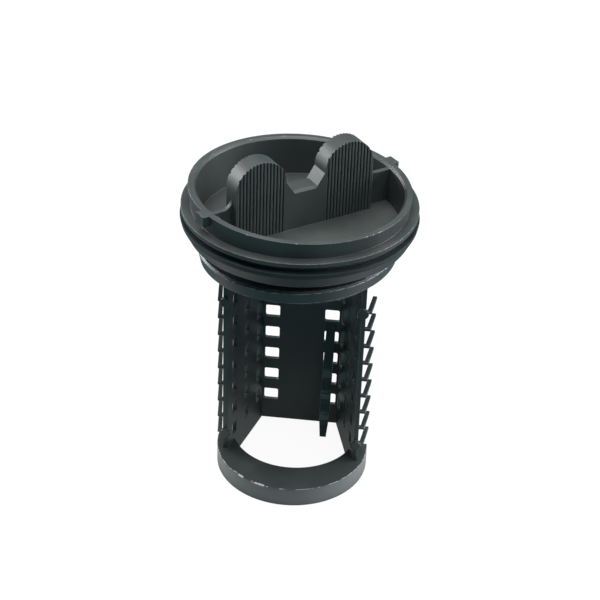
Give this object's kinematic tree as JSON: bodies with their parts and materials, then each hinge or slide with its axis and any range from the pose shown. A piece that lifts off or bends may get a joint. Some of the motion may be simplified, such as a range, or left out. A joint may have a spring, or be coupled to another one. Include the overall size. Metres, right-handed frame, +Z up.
{
  "type": "lint filter",
  "caption": "Washing-machine drain filter: round screw cap with an eared grip, coarse thread and lip seal, above an open-fronted cage with windowed walls, combs and a barbed finger.",
  "frame": {"origin": "on the axis of the screw cap, at the foot of the cage", "axes": "+Z up along the axis towards the grip, -Y out of the cage's open front, +X to the right of the opening"},
  "size_m": [0.0726, 0.0726, 0.1162],
  "materials": {
    "moulding": "satin charcoal moulding, scuffed pale along its edges",
    "seal": "smooth black rubber"
  },
  "bodies": {
    "root": {"filter_body": "moulding", "seal_ring": "seal"}
  },
  "joints": []
}
